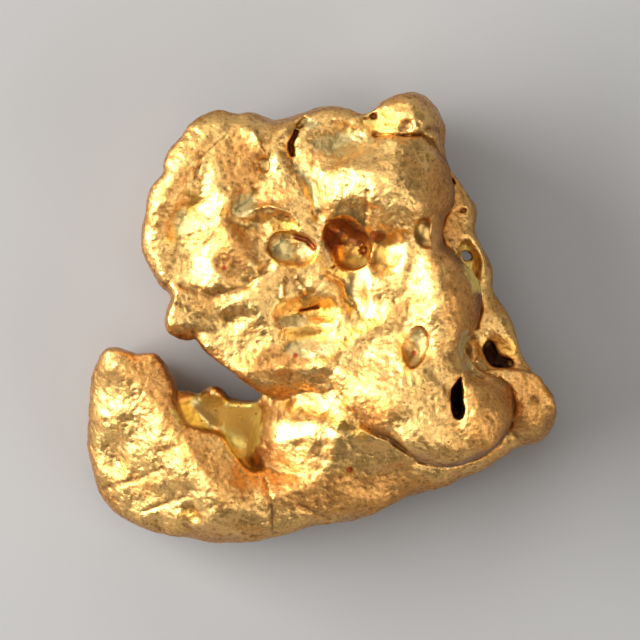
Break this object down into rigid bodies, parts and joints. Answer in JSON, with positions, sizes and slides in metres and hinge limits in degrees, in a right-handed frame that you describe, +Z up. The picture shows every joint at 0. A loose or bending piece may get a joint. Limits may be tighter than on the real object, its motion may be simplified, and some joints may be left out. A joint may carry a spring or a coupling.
{
  "type": "gold nugget",
  "caption": "Natural gold nugget: a pitted, ridged slab with a thick arm curled round a deep notch and a thin bowl between them.",
  "frame": {"origin": "centre of the bounding box's base, on the surface the nugget lies on", "axes": "+Z up from the surface, through the broad pitted face; +X along the longest side, to the right of the notch; +Y from the arm towards the top edge"},
  "size_m": [0.0282, 0.027, 0.0126],
  "materials": {
    "gold": "natural gold, matte and finely grained on raised skin, smoother and glossy in hollows, with iron stains in some pits"
  },
  "bodies": {
    "root": {"nugget": "gold"}
  },
  "joints": []
}
